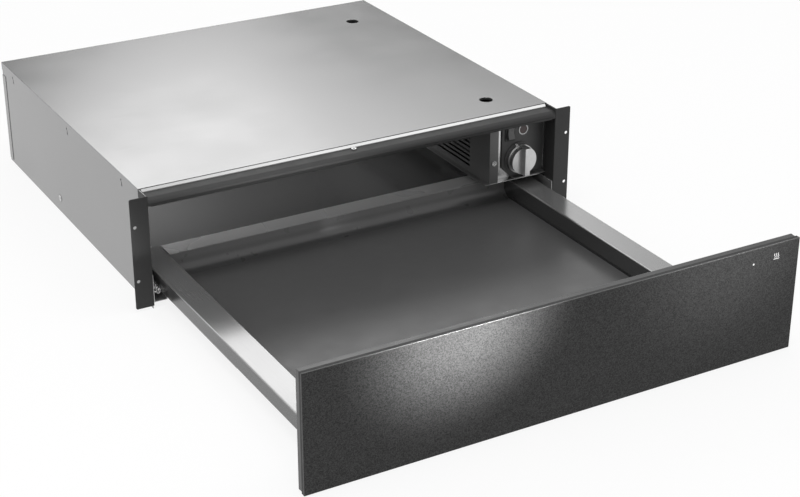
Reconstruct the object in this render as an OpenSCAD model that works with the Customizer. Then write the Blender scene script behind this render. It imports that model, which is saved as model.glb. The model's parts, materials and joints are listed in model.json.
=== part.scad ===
// Built-in warming drawer, shown with its drawer pulled fully out.
// The casing slides into a cabinet and its two front flanges screw to the cabinet's edges.
// The origin is the centre of the casing's underside. +X is right as seen from the front,
// +Y runs back into the cabinet, +Z is up. Y values below are counted from the flange plane.

/* [Casing] */
// Width of the casing over its side panels
casing_w = 548.4; // [520:0.2:620]
// Height of the casing
casing_h = 140.5; // [138:0.5:180]
// Depth of the casing behind the flange plane
casing_d = 507.2; // [505:0.2:560]
// Thickness of the casing sheet
sheet_t = 0.6; // [0.5:0.1:0.8]
// Thickness of the base pan sheet
pan_t = 0.8; // [0.6:0.1:1]
// Height of the base pan's upstand
pan_lip_h = 5.4; // [4:0.2:6]
// Height of the cover's lip over the side panels
cover_lip_h = 10; // [7:0.5:14]
// Radius of the holes in the cover
cover_hole_r = 8.5; // [6:0.5:10]
// Distance of those holes in from the side panel
cover_hole_in = 59.7; // [50:0.1:70]
// Depth of the front hole in the cover
cover_hole_front_y = 70.2; // [55:0.5:90]
// Distance of the rear hole in from the casing's back
cover_hole_rear_in = 78.5; // [60:0.5:110]

/* [Mounting flanges] */
// Width of the flanges, out from the side panels
flange_w = 21.2; // [16:0.1:30]
// Thickness of the flanges
flange_t = 1; // [0.8:0.1:1.2]
// Height of the flanges' lower edge
flange_low_z = 3.9; // [2:0.1:6]
// Radius of the screw holes
flange_hole_r = 2.1; // [1.6:0.1:2.4]
// Distance of the holes from the outer edge
flange_hole_inset = 5; // [4:0.1:7]
// Height of the lower holes
flange_hole_z = 38.4; // [30:0.1:45]
// Vertical pitch of the holes
flange_hole_pitch = 67; // [50:0.5:75]

/* [Front rail] */
// Depth of the rail, and of the cover's front edge
rail_d = 23.8; // [20:0.1:24.2]
// Drop of the rail's top below the cover
rail_drop = 3.9; // [2:0.1:5]
// Height of the rail's face
rail_h = 9; // [8.6:0.1:12]
// Radius of the rail's rounded front
rail_r = 6.4; // [5:0.1:7]

/* [Control compartment] */
// Width of the compartment
box_w = 85.6; // [84:0.2:100]
// Height of the compartment's underside
box_z = 47.6; // [44:0.1:52]
// Thickness of the compartment's sheet
box_t = 0.8; // [0.6:0.1:1]
// Depth of the compartment's front edge
box_front_y = 18; // [16:0.1:19]
// Width of the wall's front strip
strip_w = 12.8; // [9:0.1:15]
// Depth of the control panel's face
fascia_y = 25; // [24.8:0.1:28]
// Thickness of the control panel
fascia_t = 2; // [1.5:0.1:3]
// Height of one air slot
slot_h = 3; // [2:0.1:4]
// Vertical pitch of the air slots
slot_pitch = 6.2; // [5:0.1:8]

/* [Controls] */
// Distance of the knob in from the side panel
knob_in = 37.1; // [35:0.1:42]
// Height of the knob above the compartment's floor
knob_rise = 24.6; // [22:0.1:26]
// Radius of the knob
knob_r = 17.8; // [15:0.1:19]
// Width of the knob's grip
grip_w = 7.6; // [5:0.1:10]
// Depth of the knob's front face of the grip
grip_y = 4.8; // [1:0.1:6]
// Radius of the thermostat's shaft
shaft_r = 3; // [2.5:0.1:4]
// Distance of the rocker switch in from the side panel
rocker_in = 51.9; // [49:0.1:54]
// Drop of the rocker switch below the casing's top
rocker_drop = 30.7; // [26:0.1:32]
// Distance of the indicator lamp in from the side panel
lamp_in = 32.1; // [22:0.1:34]
// Drop of the indicator lamp below the casing's top
lamp_drop = 29.8; // [24:0.1:33]

/* [Drawer] */
// Room left behind the closed drawer
drawer_rear_room = 15.7; // [12:0.1:40]
// Gap behind the closed front panel
closed_gap = 3; // [2:0.5:4]
// Overhang of the front panel past the casing's sides
panel_overhang = 23.3; // [22:0.1:30]
// Drop of the front panel's top below the casing's top
panel_drop = 6.6; // [1:0.1:12]
// Height of the front panel's lower edge
panel_low_z = 0.3; // [0.3:0.1:6]
// Room between the drawer and a side panel
side_room = 10.7; // [10:0.1:13]
// Width of the drawer's side ledges
ledge_w = 31.3; // [29:0.1:40]
// Height of the side ledges
ledge_z = 37.8; // [36:0.1:40]
// Depth at which the open drawer's back ends
drawer_back_y = 77.5; // [70:0.5:84]
// Width of the drawer's rear ledge
rear_ledge_w = 27.5; // [20:0.5:32]
// Thickness of the drawer's sheet
drawer_t = 0.8; // [0.6:0.1:1]
// Thickness of the mat in the tray
mat_t = 2; // [1:0.1:3]

/* [Slides] */
// Room left behind the fixed rails
slide_rear_room = 61; // [50:0.5:80]
// Thickness of the rails' sheet
rail_t = 1; // [0.8:0.1:1.2]
// Radius of the balls
ball_r = 1.8; // [1.5:0.1:1.9]

/* [Fan and heater] */
// Depth of the fan's axis
fan_y = 250; // [240:1:300]
// Radius of the fan housing
fan_r = 42; // [36:0.5:43]
// Radius of the heating element's tube
element_r = 3.2; // [2.5:0.1:3.6]

/* [Hidden] */
$fn = 48;

// One overrun for every cut
over = 1;
// Running clearance of shafts and pins
run_gap = 0.05;
// Clearance between pieces that pass or face each other
side_gap = 0.3;

// Casing
inner_x = casing_w / 2 - sheet_t;
outer_x = casing_w / 2;
lip_x = outer_x + sheet_t;
back_y = casing_d - sheet_t;
roof_z = casing_h - sheet_t;
fold_d = 22;
pan_front_y = fold_d + side_gap;
cover_hole_x = inner_x - cover_hole_in;
cover_hole_rear_y = casing_d - cover_hole_rear_in;
cover_collar_t = 0.8;
cover_collar_h = 3.6;
side_slot_shares = [0.15, 0.506, 0.911];
side_slot_drop = 11;
side_slot_h = 7;
side_slot_r = 0.9;
side_slot_end_r = 1.4;
side_screw_y = 306;
side_screw_z = 20;
side_screw_r = 1.9;
side_screw_head_r = 4.2;
side_screw_head_h = 1.3;
side_screw_l = 5;
side_hole_r = 5;
rear_lip_d = 11.6;
rear_lip_low_z = 3.5;
rear_lip_high_z = 123;
vent_in = 48.6;
vent_w = 26;
vent_h = 3;
vent_pitch = 7;
vent_x = inner_x - vent_in;
vent_z = 88;
vent_top_gap = 9.5;
vent_count = floor((roof_z - vent_top_gap - vent_z) / vent_pitch);

// Flanges and front rail
flange_in_x = inner_x - flange_t;
flange_out_x = inner_x + flange_w;
flange_top_z = casing_h - side_gap;
flange_corner_r = 2;
rail_top_z = casing_h - rail_drop;
rail_low_z = rail_top_z - rail_h;
front_rail_t = 1.2;
rail_lip_d = 6;
rail_end_w = 3.4;
rail_groove_z = rail_top_z - rail_r;
rail_groove_h = 0.8;
rail_groove_d = 0.6;
rail_screw_x = -5;
rail_screw_y = 15;
rail_screw_r = 3.2;
rail_screw_h = 1.8;

// Control compartment
wall_x = inner_x - box_w;
wall_in_x = wall_x + box_t;
floor_z = box_z + box_t;
wall_lip_w = 6;
under_rail_z = rail_low_z - side_gap;
wall_notch_y = rail_d + sheet_t + side_gap;
outlet_y = 64.8;
outlet_l = 95;
outlet_low_z = 57.8;
outlet_rows = 7;
intake_l = 60;
intake_low_z = 72;
intake_rows = 7;
bracket_y = fascia_y + fascia_t;
bracket_t = 1;
fascia_gap = 22;
fascia_left_x = wall_x + fascia_gap;
fascia_chamfer = 15.4;
fascia_band_w = 5.7;
fascia_band_d = 0.8;
fascia_top_z = rail_top_z - side_gap;
sill_t = 1.5;
dial_r = 22;
dial_t = 1;
wall_screw_x = wall_x + strip_w / 2;
wall_screw_z = 76;
wall_screw_r = 1.6;
wall_screw_head_r = 3.4;
wall_screw_head_h = 1.4;
wall_screw_l = 6;
cross_w = 0.9;
cross_l = 4;
cross_d = 0.9;

// Controls
knob_x = inner_x - knob_in;
knob_z = floor_z + knob_rise;
rocker_x = inner_x - rocker_in;
rocker_z = casing_h - rocker_drop;
lamp_x = inner_x - lamp_in;
lamp_z = casing_h - lamp_drop;
knob_back_y = fascia_y - dial_t - side_gap;
skirt_t = 3.4;
skirt_rim = 1.2;
skirt_r = knob_r + skirt_rim;
knob_face_y = 12.3;
pointer_t = 0.9;
pointer_rise = 3.7;
pointer_tip_turn = 110.5;
pointer_low_turn = 109;
pointer_high_turn = 92;
shaft_front_y = 6.5;
shaft_rear_y = 36;
bush_r = 4.6;
thermostat_half = 17;
thermostat_d = 26;
rocker_pivot_depth = 3;
rocker_pivot_y = fascia_y + rocker_pivot_depth;
rocker_w = 9;
rocker_h = 17;
rocker_rise = 8;
rocker_dip = 6.2;
rocker_root_r = 4;
rocker_pin_r = 1.2;
rocker_tilt = 6;
housing_wall = 1.5;
housing_d = 19;
bezel_rim = 0.8;
bezel_t = 1;
well_h = 19;
well_d = 10;
lamp_ring_r = 7;
lamp_hole_r = 6;
lamp_lens_r = 5.5;
lamp_ring_t = 0.8;
lamp_lens_l = 8;

// Fan and heater
fan_z = (floor_z + roof_z) / 2;
fan_gap = 7.2;
fan_low_x = wall_in_x + fan_gap;
fan_w = 36;
fan_wall = 1.2;
fan_inlet_r = 24;
outlet_duct_h = 27;
outlet_duct_l = 60;
hub_r = 7;
wheel_r = 34;
wheel_in_r = 28;
blade_count = 20;
blade_t = 1;
motor_shaft_r = 2.5;
motor_r = 26;
motor_l = 28;
motor_boss_r = 9;
motor_boss_l = 1.8;
ring_gap = 4;
disc_gap = 6;
shaft_reach = 2;
foot_half = 15;
element_z = 70;
element_gap = 11.2;
element_x = wall_in_x + element_gap;
element_pitch = 16;
element_rear_y = 132;
element_front_y = 78;
plate_y = 58;
plate_t = 1.2;
terminal_l = 3;
cutout_r = 6;
cutout_l = 5;
cutout_gap = 1;
block_l = 30;
block_rear_gap = 27.2;
block_y = casing_d - block_rear_gap - block_l;
block_in = 48.6;
block_x = inner_x - block_in;
block_w = 30;
block_h = 18;
block_slot_w = 6;
block_slot_d = 5;
gland_in = 33.6;
gland_x = inner_x - gland_in;
gland_z = 75;
gland_r = 8;
gland_flange_r = 11;
gland_flange_t = 2.5;
gland_bore_r = 3.6;
gland_l = 12;
loom_r = 3;
loom_in = 9.6;
loom_x = inner_x - loom_in;
loom_z = 58;

// Drawer, with the places of the open pose
travel = casing_d - drawer_rear_room - drawer_back_y;
panel_w = casing_w + 2 * panel_overhang;
panel_back_y = -travel - closed_gap;
frame_d = 9.2;
gasket_t = 0.6;
front_t = 1.8;
frame_front_y = panel_back_y - frame_d;
gasket_front_y = frame_front_y - gasket_t;
panel_front_y = gasket_front_y - front_t;
frame_inset = 1;
frame_wall = 1.2;
gasket_w = 10;
panel_top_z = casing_h - panel_drop;
light_in = 61.8;
light_x = panel_w / 2 - light_in;
light_drop = 17.8;
light_r = 1.1;
ledge_out_x = inner_x - side_room;
ledge_in_x = ledge_out_x - ledge_w;
ledge_corner_r = 1.5;
outer_wall_low_z = 19.6;
tray_low_z = 11.8;
tray_floor_z = tray_low_z + drawer_t;
tray_half = ledge_in_x - side_gap;
mat_gap = 2;
channel_flange_w = 10;
cove_r = 16;
rear_wall_y = drawer_back_y - rear_ledge_w;
under_ledge_z = ledge_z - drawer_t;
bracket_plate_t = 1.2;
panel_screw_r = 1.6;
panel_screw_head_r = 3;
panel_screw_head_h = 1.5;
panel_screw_l = 4;
panel_screw_low_z = 18.5;
panel_screw_pitch = 12.5;

// Slides, as widths from the side panel and heights from the underside
ball_gap = 0.1;
race = 2 * (ball_r + ball_gap);
web_low_z = 7.2;
fixed_flange_top_z = 42;
channel_wall_u = side_room + drawer_t;
channel_gap = 0.4;
leg_u = channel_wall_u + channel_gap;
blade_u = leg_u + rail_t + race;
far_leg_u = blade_u + rail_t + race;
inner_web_z = under_ledge_z - rail_t;
middle_web_z = inner_web_z - race - rail_t;
inner_lip_z = middle_web_z - race - rail_t;
leg_drop = 2.7;
leg_low_z = outer_wall_low_z - leg_drop;
blade_gap = 2;
blade_top_z = middle_web_z - blade_gap;
middle_flange_w = 13.7;
middle_end_u = far_leg_u + rail_t + middle_flange_w;
inner_gap = 1.1;
inner_wall_u = middle_end_u + inner_gap;
inner_lip_w = 9.3;
cage_t = 0.6;
cage_leg_low_z = 18.4;
rear_ball_z = 22.4;
front_ball_inset = 4.2;
front_ball_u = middle_end_u - front_ball_inset;
cage_l = 160;
ball_count = 8;
ball_pitch = cage_l / ball_count;
rail_setback = 0.2;
fixed_front_y = flange_t + rail_setback;
slide_l = casing_d - fixed_front_y - slide_rear_room;
rail_pad_half = 12;
middle_setback = 7;
middle_front_y = middle_setback - travel / 2;
rail_shortening = 5;
middle_l = slide_l - rail_shortening;
inner_setback = 5;
inner_front_y = panel_back_y + inner_setback;
inner_l = slide_l - rail_shortening;
rear_cage_y = 24;
front_cage_setback = 18;
front_cage_y = middle_front_y + front_cage_setback;

// Latch
latch_half = 18;
latch_l = 40;
latch_top_z = 9;
plunger_half = 5;
plunger_low_z = 2.6;
plunger_high_z = 7.4;
plunger_l = 24;
plunger_out = 9.7;
plunger_fit = 0.2;
plunger_stroke = 4;
striker_half = 9;
striker_t = 3;
striker_low_z = 3;
striker_foot_l = 24;
striker_y = rear_wall_y - cove_r;
plunger_front_y = striker_y + travel + side_gap;
latch_front_y = plunger_front_y + plunger_out;
latch_rear_y = latch_front_y + latch_l;

// Helpers

// Box between two corners
module block(low, high) {
    translate(low)
        cube(high - low);
}

// Places pieces whose Y is counted from the flange plane
module from_flange() {
    translate([0, -casing_d / 2, 0])
        children();
}

// Draws a right-hand piece on either side
module on_side(side) {
    if (side < 0) {
        mirror([1, 0, 0])
            children();
    } else {
        children();
    }
}

// Extrudes an XZ profile along Y
module along_y(y0, y1) {
    translate([0, y1, 0])
        rotate([90, 0, 0])
            linear_extrude(y1 - y0)
                children();
}

// Extrudes a YZ profile along X
module along_x(x0, x1) {
    translate([x0, 0, 0])
        rotate([90, 0, 90])
            linear_extrude(x1 - x0)
                children();
}

// Rectangle between two corners
module rect(x0, z0, x1, z1) {
    translate([x0, z0])
        square([x1 - x0, z1 - z0]);
}

// Round rod along Y
module rod_y(x, z, r, y0, y1) {
    translate([x, y1, z])
        rotate([90, 0, 0])
            cylinder(h = y1 - y0, r = r);
}

// Round rod along X
module rod_x(y, z, r, x0, x1) {
    translate([x0, y, z])
        rotate([0, 90, 0])
            cylinder(h = x1 - x0, r = r);
}

// Cutter for one slot with round ends, through a wall that faces X
module slot_x(x0, x1, y0, y1, z, h) {
    block([x0, y0 + h / 2, z - h / 2], [x1, y1 - h / 2, z + h / 2]);
    rod_x(y0 + h / 2, z, h / 2, x0, x1);
    rod_x(y1 - h / 2, z, h / 2, x0, x1);
}

// Rail section on the right-hand side, given in widths from the side panel
module slide_rect(u0, z0, u1, z1) {
    rect(inner_x - u1, z0, inner_x - u0, z1);
}

// Casing

// Shallow pan whose flat underside rests on the shelf
module base_pan() {
    color("silver")
        from_flange()
            difference() {
                block([-inner_x, pan_front_y, 0], [inner_x, back_y, pan_lip_h]);
                block([pan_t - inner_x, pan_front_y + pan_t, pan_t],
                      [inner_x - pan_t, back_y - pan_t, pan_lip_h + over]);
            }
}

// Hook slot with two wider ends
module side_slot(y) {
    z = roof_z - side_slot_drop;
    block([inner_x - over, y - side_slot_r, z - side_slot_h / 2],
          [lip_x + over, y + side_slot_r, z + side_slot_h / 2]);
    for (end = [-1, 1]) {
        rod_x(y, z + end * side_slot_h / 2, side_slot_end_r, inner_x - over, lip_x + over);
    }
}

module side_panel(side) {
    color("gainsboro")
        from_flange()
            on_side(side)
                difference() {
                    block([inner_x, flange_t, 0], [outer_x, back_y, roof_z]);
                    for (share = side_slot_shares) {
                        side_slot(share * casing_d);
                    }
                    rod_x(side_screw_y, side_screw_z, side_hole_r, inner_x - over, outer_x + over);
                }
}

module side_panel_left() {
    side_panel(-1);
}

module side_panel_right() {
    side_panel(1);
}

// Back wall with a lip folded round each side panel
module rear_panel() {
    color("gainsboro")
        from_flange()
            difference() {
                union() {
                    block([-outer_x, back_y, 0], [outer_x, casing_d, roof_z]);
                    block([-lip_x, back_y, rear_lip_low_z], [lip_x, casing_d, rear_lip_high_z]);
                    for (side = [-1, 1]) {
                        on_side(side)
                            block([outer_x, casing_d - rear_lip_d, rear_lip_low_z],
                                  [lip_x, casing_d, rear_lip_high_z]);
                    }
                }
                rod_y(gland_x, gland_z, gland_r, back_y - over, casing_d + over);
                for (i = [0:vent_count - 1]) {
                    block([vent_x - vent_w / 2, back_y - over, vent_z + i * vent_pitch],
                          [vent_x + vent_w / 2, casing_d + over, vent_z + i * vent_pitch + vent_h]);
                }
            }
}

// Lid with side lips, a front fold and two collared holes
module top_cover() {
    color("whitesmoke")
        from_flange()
            difference() {
                union() {
                    block([-lip_x, rail_d, roof_z], [lip_x, casing_d, casing_h]);
                    block([-inner_x, rail_d, rail_top_z], [inner_x, rail_d + sheet_t, casing_h]);
                    for (side = [-1, 1]) {
                        on_side(side)
                            block([outer_x, rail_d, casing_h - cover_lip_h], [lip_x, casing_d, casing_h]);
                    }
                    for (y = [cover_hole_front_y, cover_hole_rear_y]) {
                        translate([cover_hole_x, y, casing_h - cover_collar_h])
                            cylinder(h = cover_collar_h, r = cover_hole_r + cover_collar_t);
                    }
                }
                for (y = [cover_hole_front_y, cover_hole_rear_y]) {
                    translate([cover_hole_x, y, casing_h - cover_collar_h - over])
                        cylinder(h = cover_collar_h + 2 * over, r = cover_hole_r);
                }
                for (side = [-1, 1]) {
                    on_side(side)
                        for (share = side_slot_shares) {
                            side_slot(share * casing_d);
                        }
                }
            }
}

// Front plate of a flange, with two screw holes and rounded outer corners
module flange_plate() {
    round_x = flange_out_x - flange_corner_r;
    difference() {
        union() {
            rect(flange_in_x, flange_low_z, round_x, flange_top_z);
            rect(flange_in_x, flange_low_z + flange_corner_r, flange_out_x, flange_top_z - flange_corner_r);
            for (z = [flange_low_z + flange_corner_r, flange_top_z - flange_corner_r]) {
                translate([round_x, z])
                    circle(flange_corner_r);
            }
        }
        for (z = [flange_hole_z, flange_hole_z + flange_hole_pitch]) {
            translate([flange_out_x - flange_hole_inset, z])
                circle(flange_hole_r);
        }
    }
}

module flange(side) {
    color("dimgray")
        from_flange()
            on_side(side)
                union() {
                    along_y(0, flange_t)
                        flange_plate();
                    block([flange_in_x, 0, flange_low_z], [inner_x, fold_d, flange_top_z]);
                }
}

module flange_left() {
    flange(-1);
}

module flange_right() {
    flange(1);
}

// Filled section of the front rail, in from its outside by a thickness
module rail_section(t) {
    low = t > 0 ? rail_low_z - over : rail_low_z;
    back = t > 0 ? rail_d + over : rail_d;
    rect(t, low, rail_r, rail_top_z - rail_r);
    rect(rail_r, low, back, rail_top_z - t);
    intersection() {
        translate([rail_r, rail_top_z - rail_r])
            circle(rail_r - t);
        rect(t, rail_top_z - rail_r, rail_r, rail_top_z - t);
    }
}

// Rounded rail across the top of the opening, open at its back
module front_rail() {
    color("dimgray")
        from_flange()
            difference() {
                union() {
                    along_x(-flange_in_x, flange_in_x)
                        difference() {
                            rail_section(0);
                            rail_section(front_rail_t);
                        }
                    along_x(-flange_in_x, flange_in_x)
                        rect(0, rail_low_z, rail_lip_d, rail_low_z + front_rail_t);
                    for (side = [-1, 1]) {
                        on_side(side)
                            along_x(flange_in_x - rail_end_w, flange_in_x)
                                rail_section(0);
                    }
                }
                block([rail_end_w - flange_in_x, -over, rail_groove_z - rail_groove_h],
                      [flange_in_x - rail_end_w, rail_groove_d, rail_groove_z]);
            }
}

// Cross recess cut into a screw head that faces up
module cross_cut(top) {
    for (turn = [0, 90]) {
        rotate([0, 0, turn])
            block([-cross_l / 2, -cross_w / 2, top - cross_d], [cross_l / 2, cross_w / 2, top + over]);
    }
}

module rail_screw() {
    color("white")
        from_flange()
            translate([rail_screw_x, rail_screw_y, rail_top_z])
                difference() {
                    cylinder(h = rail_screw_h, r = rail_screw_r);
                    cross_cut(rail_screw_h);
                }
}

// One screw through each side panel into the fixed rail
module side_screws() {
    color("silver")
        from_flange()
            for (side = [-1, 1]) {
                on_side(side)
                    translate([inner_x, side_screw_y, side_screw_z])
                        rotate([0, 90, 0])
                            difference() {
                                union() {
                                    cylinder(h = side_screw_head_h, r = side_screw_head_r);
                                    translate([0, 0, -side_screw_l])
                                        cylinder(h = side_screw_l, r = side_screw_r);
                                }
                                cross_cut(side_screw_head_h);
                            }
            }
}

// Control compartment

// Rows of air slots through the louvred wall
module slot_rows(y0, length, low_z, rows) {
    for (i = [0:rows - 1]) {
        slot_x(wall_x - over, wall_in_x + over, y0, y0 + length, low_z + i * slot_pitch, slot_h);
    }
}

// Wall between cavity and compartment, with a front strip and a lower lip
module louvre_wall() {
    color("gray")
        from_flange()
            difference() {
                union() {
                    block([wall_x, box_front_y, box_z], [wall_in_x, back_y, roof_z]);
                    block([wall_x, box_front_y, floor_z],
                          [wall_x + strip_w, box_front_y + box_t, under_rail_z]);
                    block([wall_x - wall_lip_w, box_front_y, box_z], [wall_in_x, back_y, floor_z]);
                }
                block([wall_x - over, box_front_y - over, under_rail_z],
                      [wall_in_x + over, wall_notch_y, casing_h]);
                slot_rows(outlet_y, outlet_l, outlet_low_z, outlet_rows);
                slot_rows(fan_y - intake_l / 2, intake_l, intake_low_z, intake_rows);
                rod_y(wall_screw_x, wall_screw_z, wall_screw_r + run_gap,
                      box_front_y - over, box_front_y + box_t + over);
            }
}

module compartment_floor() {
    color("silver")
        from_flange()
            difference() {
                block([wall_in_x, box_front_y, box_z], [inner_x, back_y, floor_z]);
                block([flange_in_x - side_gap, box_front_y - over, box_z - over],
                      [inner_x + over, fold_d + side_gap, floor_z + over]);
            }
}

// Bright plate behind the control panel that carries the controls
module control_bracket() {
    color("white")
        from_flange()
            difference() {
                block([wall_in_x, bracket_y, floor_z], [inner_x, bracket_y + bracket_t, roof_z]);
                rod_y(knob_x, knob_z, bush_r + side_gap, bracket_y - over, bracket_y + bracket_t + over);
                rod_y(lamp_x, lamp_z, lamp_hole_r, bracket_y - over, bracket_y + bracket_t + over);
                switch_opening(bracket_y - over, bracket_y + bracket_t + over);
            }
}

// Opening that takes the switch housing
module switch_opening(y0, y1) {
    half_w = rocker_w / 2 + side_gap + housing_wall + run_gap;
    half_h = well_h / 2 + bezel_rim + run_gap;
    block([rocker_x - half_w, y0, rocker_z - half_h], [rocker_x + half_w, y1, rocker_z + half_h]);
}

// Dark panel with a chamfered corner, a dial boss and a sill along its foot
module control_panel() {
    right_x = flange_in_x - side_gap;
    color("darkslategray")
        from_flange()
            difference() {
                union() {
                    along_y(fascia_y, bracket_y)
                        polygon([[fascia_left_x, fascia_top_z],
                                 [right_x, fascia_top_z],
                                 [right_x, floor_z],
                                 [fascia_left_x + fascia_chamfer, floor_z],
                                 [fascia_left_x, floor_z + fascia_chamfer]]);
                    block([fascia_left_x + fascia_chamfer, box_front_y, floor_z],
                          [right_x, bracket_y, floor_z + sill_t]);
                    rod_y(knob_x, knob_z, dial_r, fascia_y - dial_t, bracket_y);
                }
                block([right_x - fascia_band_w, fascia_y - over, floor_z + sill_t],
                      [right_x + over, fascia_y + fascia_band_d, fascia_top_z + over]);
                rod_y(knob_x, knob_z, bush_r + side_gap, fascia_y - dial_t - over, bracket_y + over);
                rod_y(lamp_x, lamp_z, lamp_hole_r, fascia_y - over, bracket_y + over);
                switch_opening(fascia_y - over, bracket_y + over);
            }
}

module wall_screw() {
    color("white")
        from_flange()
            translate([wall_screw_x, box_front_y, wall_screw_z])
                rotate([90, 0, 0])
                    difference() {
                        union() {
                            cylinder(h = wall_screw_head_h, r = wall_screw_head_r);
                            translate([0, 0, -wall_screw_l])
                                cylinder(h = wall_screw_l, r = wall_screw_r);
                        }
                        cross_cut(wall_screw_head_h);
                    }
}

// Controls

// Point on the dial at a turn from +X and a distance from the knob's axis
function dial_point(turn, r) = [knob_x + r * cos(turn), knob_z + r * sin(turn)];

// Round knob with a skirt, a full-width grip and a pointer
module temperature_knob() {
    skirt_y = knob_back_y - skirt_t;
    color("lightgray")
        from_flange()
            difference() {
                union() {
                    rod_y(knob_x, knob_z, skirt_r, skirt_y, knob_back_y);
                    rod_y(knob_x, knob_z, knob_r, knob_face_y, knob_back_y);
                    block([knob_x - grip_w / 2, grip_y, knob_z - knob_r],
                          [knob_x + grip_w / 2, knob_face_y + over, knob_z + knob_r]);
                    block([knob_x - grip_w / 2, grip_y, knob_z],
                          [knob_x + grip_w / 2, knob_back_y, knob_z + knob_r + over]);
                    along_y(knob_back_y - pointer_t, knob_back_y)
                        polygon([dial_point(pointer_low_turn, knob_r),
                                 dial_point(pointer_high_turn, knob_r),
                                 dial_point(pointer_tip_turn, skirt_r + pointer_rise)]);
                }
                rod_y(knob_x, knob_z, shaft_r + run_gap, shaft_front_y - side_gap, knob_back_y + over);
            }
}

module thermostat_shaft() {
    color("silver")
        from_flange()
            rod_y(knob_x, knob_z, shaft_r, shaft_front_y, shaft_rear_y);
}

// Thermostat with the bush that guides the shaft
module thermostat_body() {
    rear_y = bracket_y + bracket_t;
    color("tan")
        from_flange()
            difference() {
                union() {
                    block([knob_x - thermostat_half, rear_y, knob_z - thermostat_half],
                          [knob_x + thermostat_half, rear_y + thermostat_d, knob_z + thermostat_half]);
                    rod_y(knob_x, knob_z, bush_r, fascia_y - dial_t, rear_y + over);
                }
                rod_y(knob_x, knob_z, shaft_r + run_gap, fascia_y - dial_t - over, shaft_rear_y + side_gap);
            }
}

// Housing with a well for the rocker and holes for its pivot
module switch_housing() {
    well_half = rocker_w / 2 + side_gap;
    half_w = well_half + housing_wall;
    half_h = well_h / 2 + bezel_rim;
    color("black")
        from_flange()
            difference() {
                union() {
                    block([rocker_x - half_w, fascia_y, rocker_z - half_h],
                          [rocker_x + half_w, fascia_y + housing_d, rocker_z + half_h]);
                    block([rocker_x - half_w - bezel_rim, fascia_y - bezel_t, rocker_z - half_h - bezel_rim],
                          [rocker_x + half_w + bezel_rim, fascia_y, rocker_z + half_h + bezel_rim]);
                }
                block([rocker_x - well_half, fascia_y - bezel_t - over, rocker_z - well_h / 2],
                      [rocker_x + well_half, fascia_y + well_d, rocker_z + well_h / 2]);
                rod_x(rocker_pivot_y, rocker_z, rocker_pin_r + run_gap,
                      rocker_x - half_w - over, rocker_x + half_w + over);
            }
}

// Rocker with a dipped face, on a pin through the housing's walls
module rocker() {
    pin_half = rocker_w / 2 + side_gap + housing_wall;
    color("gray")
        from_flange()
            translate([rocker_x, rocker_pivot_y, rocker_z])
                rotate([-rocker_tilt, 0, 0])
                    union() {
                        along_x(-rocker_w / 2, rocker_w / 2)
                            polygon([[-rocker_rise, -rocker_h / 2],
                                     [-rocker_dip, 0],
                                     [-rocker_rise, rocker_h / 2],
                                     [0, rocker_h / 2],
                                     [rocker_root_r, rocker_root_r],
                                     [rocker_root_r, -rocker_root_r],
                                     [0, -rocker_h / 2]]);
                        rod_x(0, 0, rocker_pin_r, -pin_half, pin_half);
                    }
}

module lamp_bezel() {
    color("lightgray")
        from_flange()
            difference() {
                union() {
                    rod_y(lamp_x, lamp_z, lamp_ring_r, fascia_y - lamp_ring_t, fascia_y);
                    rod_y(lamp_x, lamp_z, lamp_hole_r - run_gap, fascia_y - lamp_ring_t, bracket_y);
                }
                rod_y(lamp_x, lamp_z, lamp_lens_r + run_gap, fascia_y - lamp_ring_t - over, bracket_y + over);
            }
}

module lamp_lens() {
    color("darkred")
        from_flange()
            rod_y(lamp_x, lamp_z, lamp_lens_r, fascia_y - lamp_ring_t / 2,
                  fascia_y - lamp_ring_t / 2 + lamp_lens_l);
}

// Fan, heater and wiring

// Scroll with a front outlet, a round inlet and a foot
module fan_housing() {
    low_z = fan_z - fan_r;
    high_x = fan_low_x + fan_w;
    outlet_front_y = fan_y - outlet_duct_l;
    color("lightsteelblue")
        from_flange()
            difference() {
                union() {
                    rod_x(fan_y, fan_z, fan_r, fan_low_x, high_x);
                    block([fan_low_x, outlet_front_y, low_z], [high_x, fan_y, low_z + outlet_duct_h]);
                    block([fan_low_x + fan_wall, fan_y - foot_half, floor_z],
                          [high_x - fan_wall, fan_y + foot_half, low_z + fan_wall / 2]);
                }
                rod_x(fan_y, fan_z, fan_r - fan_wall, fan_low_x + fan_wall, high_x - fan_wall);
                block([fan_low_x + fan_wall, outlet_front_y - over, low_z + fan_wall],
                      [high_x - fan_wall, fan_y, low_z + outlet_duct_h - fan_wall]);
                rod_x(fan_y, fan_z, fan_inlet_r, fan_low_x - over, fan_low_x + fan_wall + over);
                rod_x(fan_y, fan_z, motor_boss_r / 2, high_x - fan_wall - over, high_x + over);
            }
}

// Drum of blades between a ring and a disc
module fan_impeller() {
    ring_x = fan_low_x + fan_wall + ring_gap;
    disc_x = fan_low_x + fan_w - fan_wall - disc_gap;
    color("darkgray")
        from_flange()
            translate([0, fan_y, fan_z])
                difference() {
                    union() {
                        rod_x(0, 0, wheel_r, disc_x, disc_x + blade_t);
                        rod_x(0, 0, hub_r, disc_x - 2 * blade_t, disc_x + 3 * blade_t);
                        difference() {
                            rod_x(0, 0, wheel_r, ring_x, ring_x + blade_t);
                            rod_x(0, 0, wheel_in_r, ring_x - over, ring_x + blade_t + over);
                        }
                        for (i = [0:blade_count - 1]) {
                            rotate([i * 360 / blade_count, 0, 0])
                                block([ring_x, -blade_t / 2, wheel_in_r],
                                      [disc_x + blade_t, blade_t / 2, wheel_r - blade_t / 2]);
                        }
                    }
                    rod_x(0, 0, motor_shaft_r + run_gap / 2, ring_x, disc_x + 4 * blade_t);
                }
}

module motor_shaft() {
    color("silver")
        from_flange()
            rod_x(fan_y, fan_z, motor_shaft_r, fan_low_x + fan_w - fan_wall - disc_gap - shaft_reach,
                  fan_low_x + fan_w + motor_l);
}

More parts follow.
